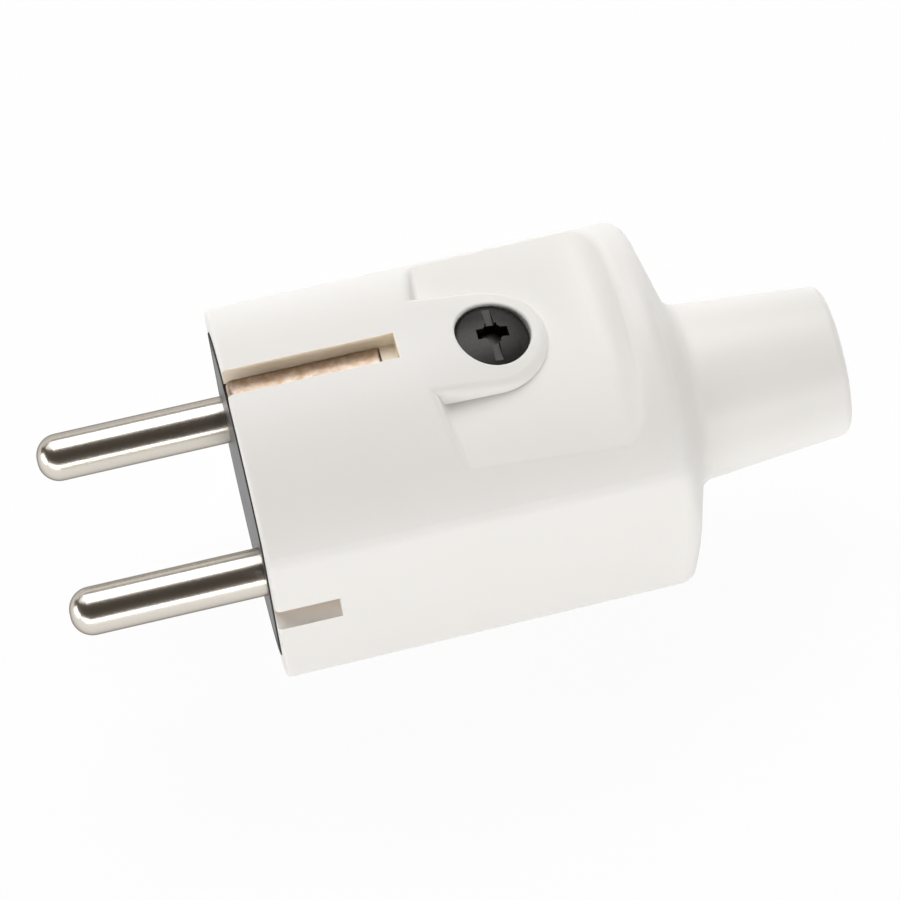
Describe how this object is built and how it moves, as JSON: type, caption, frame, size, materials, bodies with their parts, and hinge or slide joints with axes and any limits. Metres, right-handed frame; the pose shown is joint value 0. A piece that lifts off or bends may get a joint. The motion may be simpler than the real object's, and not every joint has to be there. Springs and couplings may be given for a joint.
{
  "type": "type f plug",
  "caption": "Rewirable earthed mains plug: round pins on a dark carrier, a round white housing with flat sides, side earth contacts, a screw pad and a tapered cable sleeve.",
  "frame": {"origin": "On the contact carrier's front face, midway between the two contact pins.", "axes": "+X runs along the plug to the cable end and the pins point to -X; the pins are spaced along Y; +Z is the side with the housing screw."},
  "size_m": [0.0797, 0.0318, 0.0372],
  "materials": {
    "housing_plastic": "satin warm white moulding",
    "carrier_plastic": "glossy near-black moulding",
    "nickel_plate": "turned and nickel plated",
    "earth_bronze": "bare strip, slightly dulled",
    "zinc_steel": "zinc plated",
    "black_steel": "blackened"
  },
  "bodies": {
    "root": {"housing": "housing_plastic", "contact_carrier": "carrier_plastic", "line_pin": "nickel_plate", "neutral_pin": "nickel_plate", "terminal_screws": "zinc_steel", "earth_contact_upper": "earth_bronze", "earth_contact_lower": "earth_bronze", "earth_terminal_screw": "zinc_steel", "earth_clamp_washer": "zinc_steel", "cord_clamp": "carrier_plastic", "cord_clamp_screws": "zinc_steel", "housing_screw": "black_steel", "housing_nut": "zinc_steel"}
  },
  "joints": []
}
